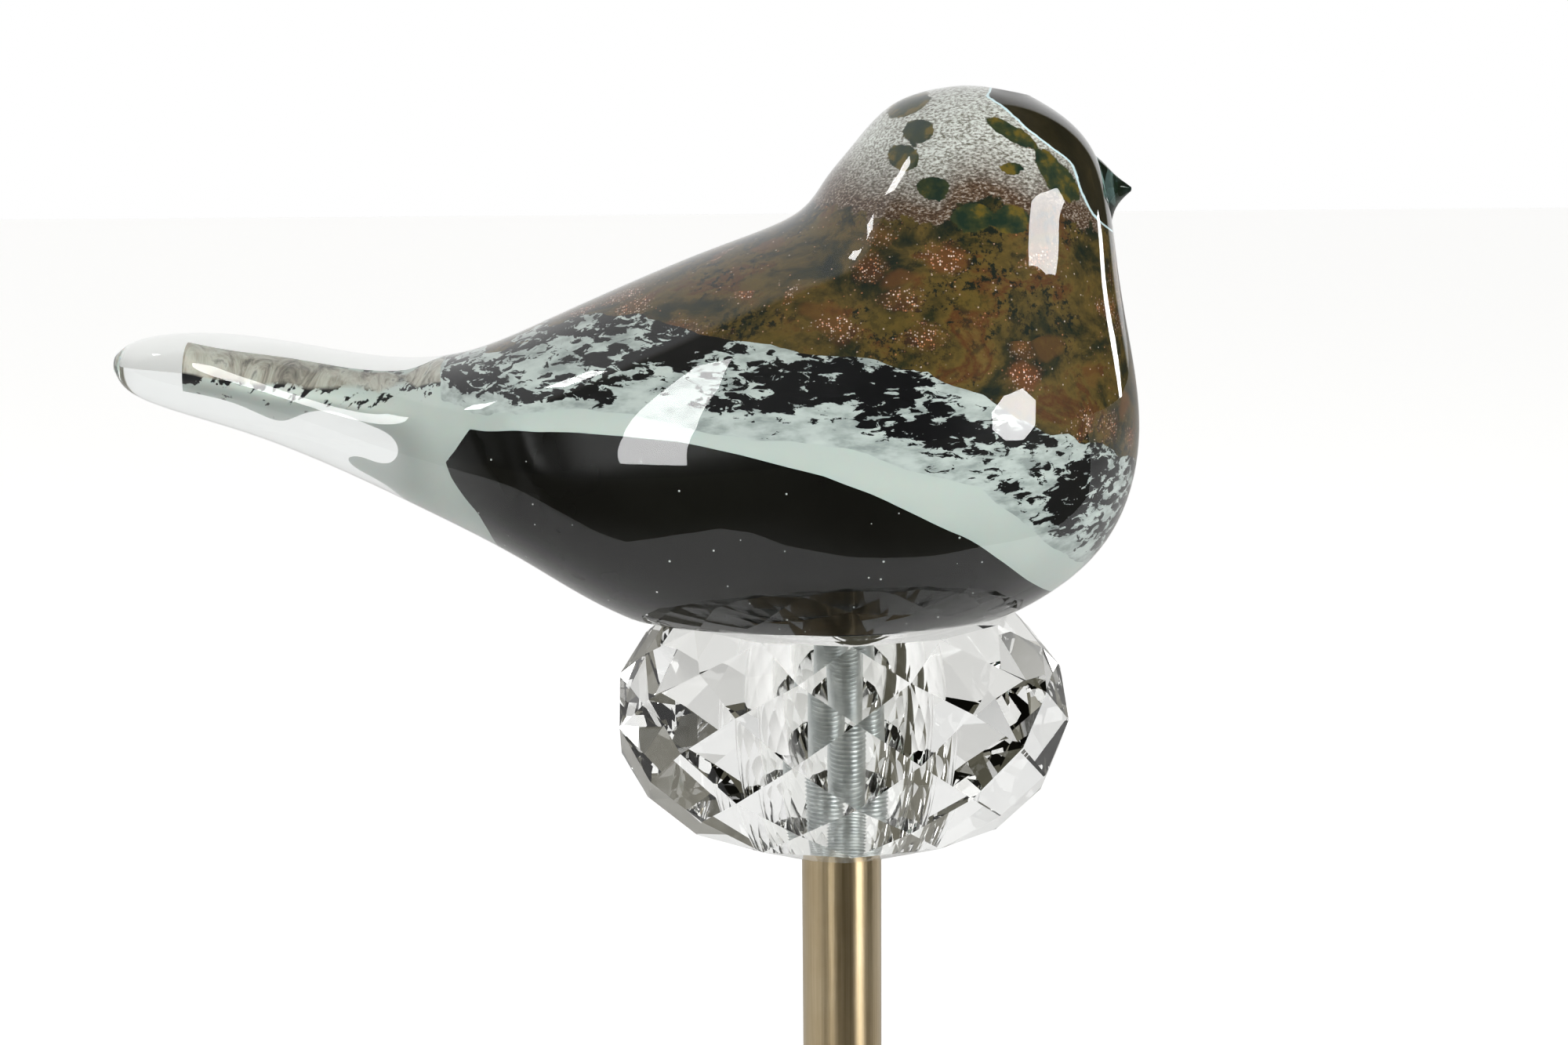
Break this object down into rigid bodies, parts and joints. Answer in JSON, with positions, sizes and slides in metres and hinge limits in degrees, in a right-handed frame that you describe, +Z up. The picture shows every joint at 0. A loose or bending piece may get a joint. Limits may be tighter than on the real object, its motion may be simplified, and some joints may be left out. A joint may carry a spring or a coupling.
{
  "type": "glass bird sculpture on a stand",
  "caption": "Solid layered art-glass bird resting on a faceted crystal rondelle, on a slim brass tube with a weighted round base.",
  "frame": {"origin": "centre of the felt pad's underside, on the table", "axes": "+Z up along the stem, +X towards the beak"},
  "size_m": [0.2159, 0.15, 0.3266],
  "materials": {
    "felt": "dense dark wool felt",
    "antique_brass": "lengthwise brushed, antiqued and lacquered",
    "cast_iron": "as cast, dark",
    "zinc_steel": "dull grey zinc plate",
    "turned_brass": "bare, turned",
    "blackened_brass": "blackened, turned",
    "clear_washer": "thin translucent silicone",
    "crystal": "clear, cut and polished",
    "clear_glass": "clear, fire polished",
    "amber_glass": "amber brown with copper aventurine and dark mottling",
    "speckle_glass": "black and white streaky speckle",
    "opal_glass": "milky grey-green opal",
    "black_glass": "near black",
    "teal_glass": "clear teal, fire polished"
  },
  "bodies": {
    "stand": {"base_felt": "felt", "base_cover": "antique_brass", "base_weight": "cast_iron", "base_washer": "zinc_steel", "base_lock_washer": "zinc_steel", "base_nut": "zinc_steel", "threaded_rod": "zinc_steel", "base_collar": "antique_brass", "stem_tube": "antique_brass", "stem_plug_lower": "turned_brass", "stem_plug_upper": "turned_brass", "crystal_seat_washer": "clear_washer", "crystal_rondelle": "crystal", "bird_seat_washer": "clear_washer"},
    "bird": {"bird_casing": "clear_glass", "bird_back_layer": "amber_glass", "bird_speckle_layer": "speckle_glass", "bird_opal_layer": "opal_glass", "bird_belly_core": "black_glass", "bird_beak": "teal_glass", "bird_insert": "blackened_brass"}
  },
  "joints": [
    {"name": "bird_turn", "type": "hinge", "parent": "stand", "child": "bird", "pos_m": [0, 0, 0.2253], "axis": [0, 0, 1], "range_deg": [-180, 180]}
  ]
}
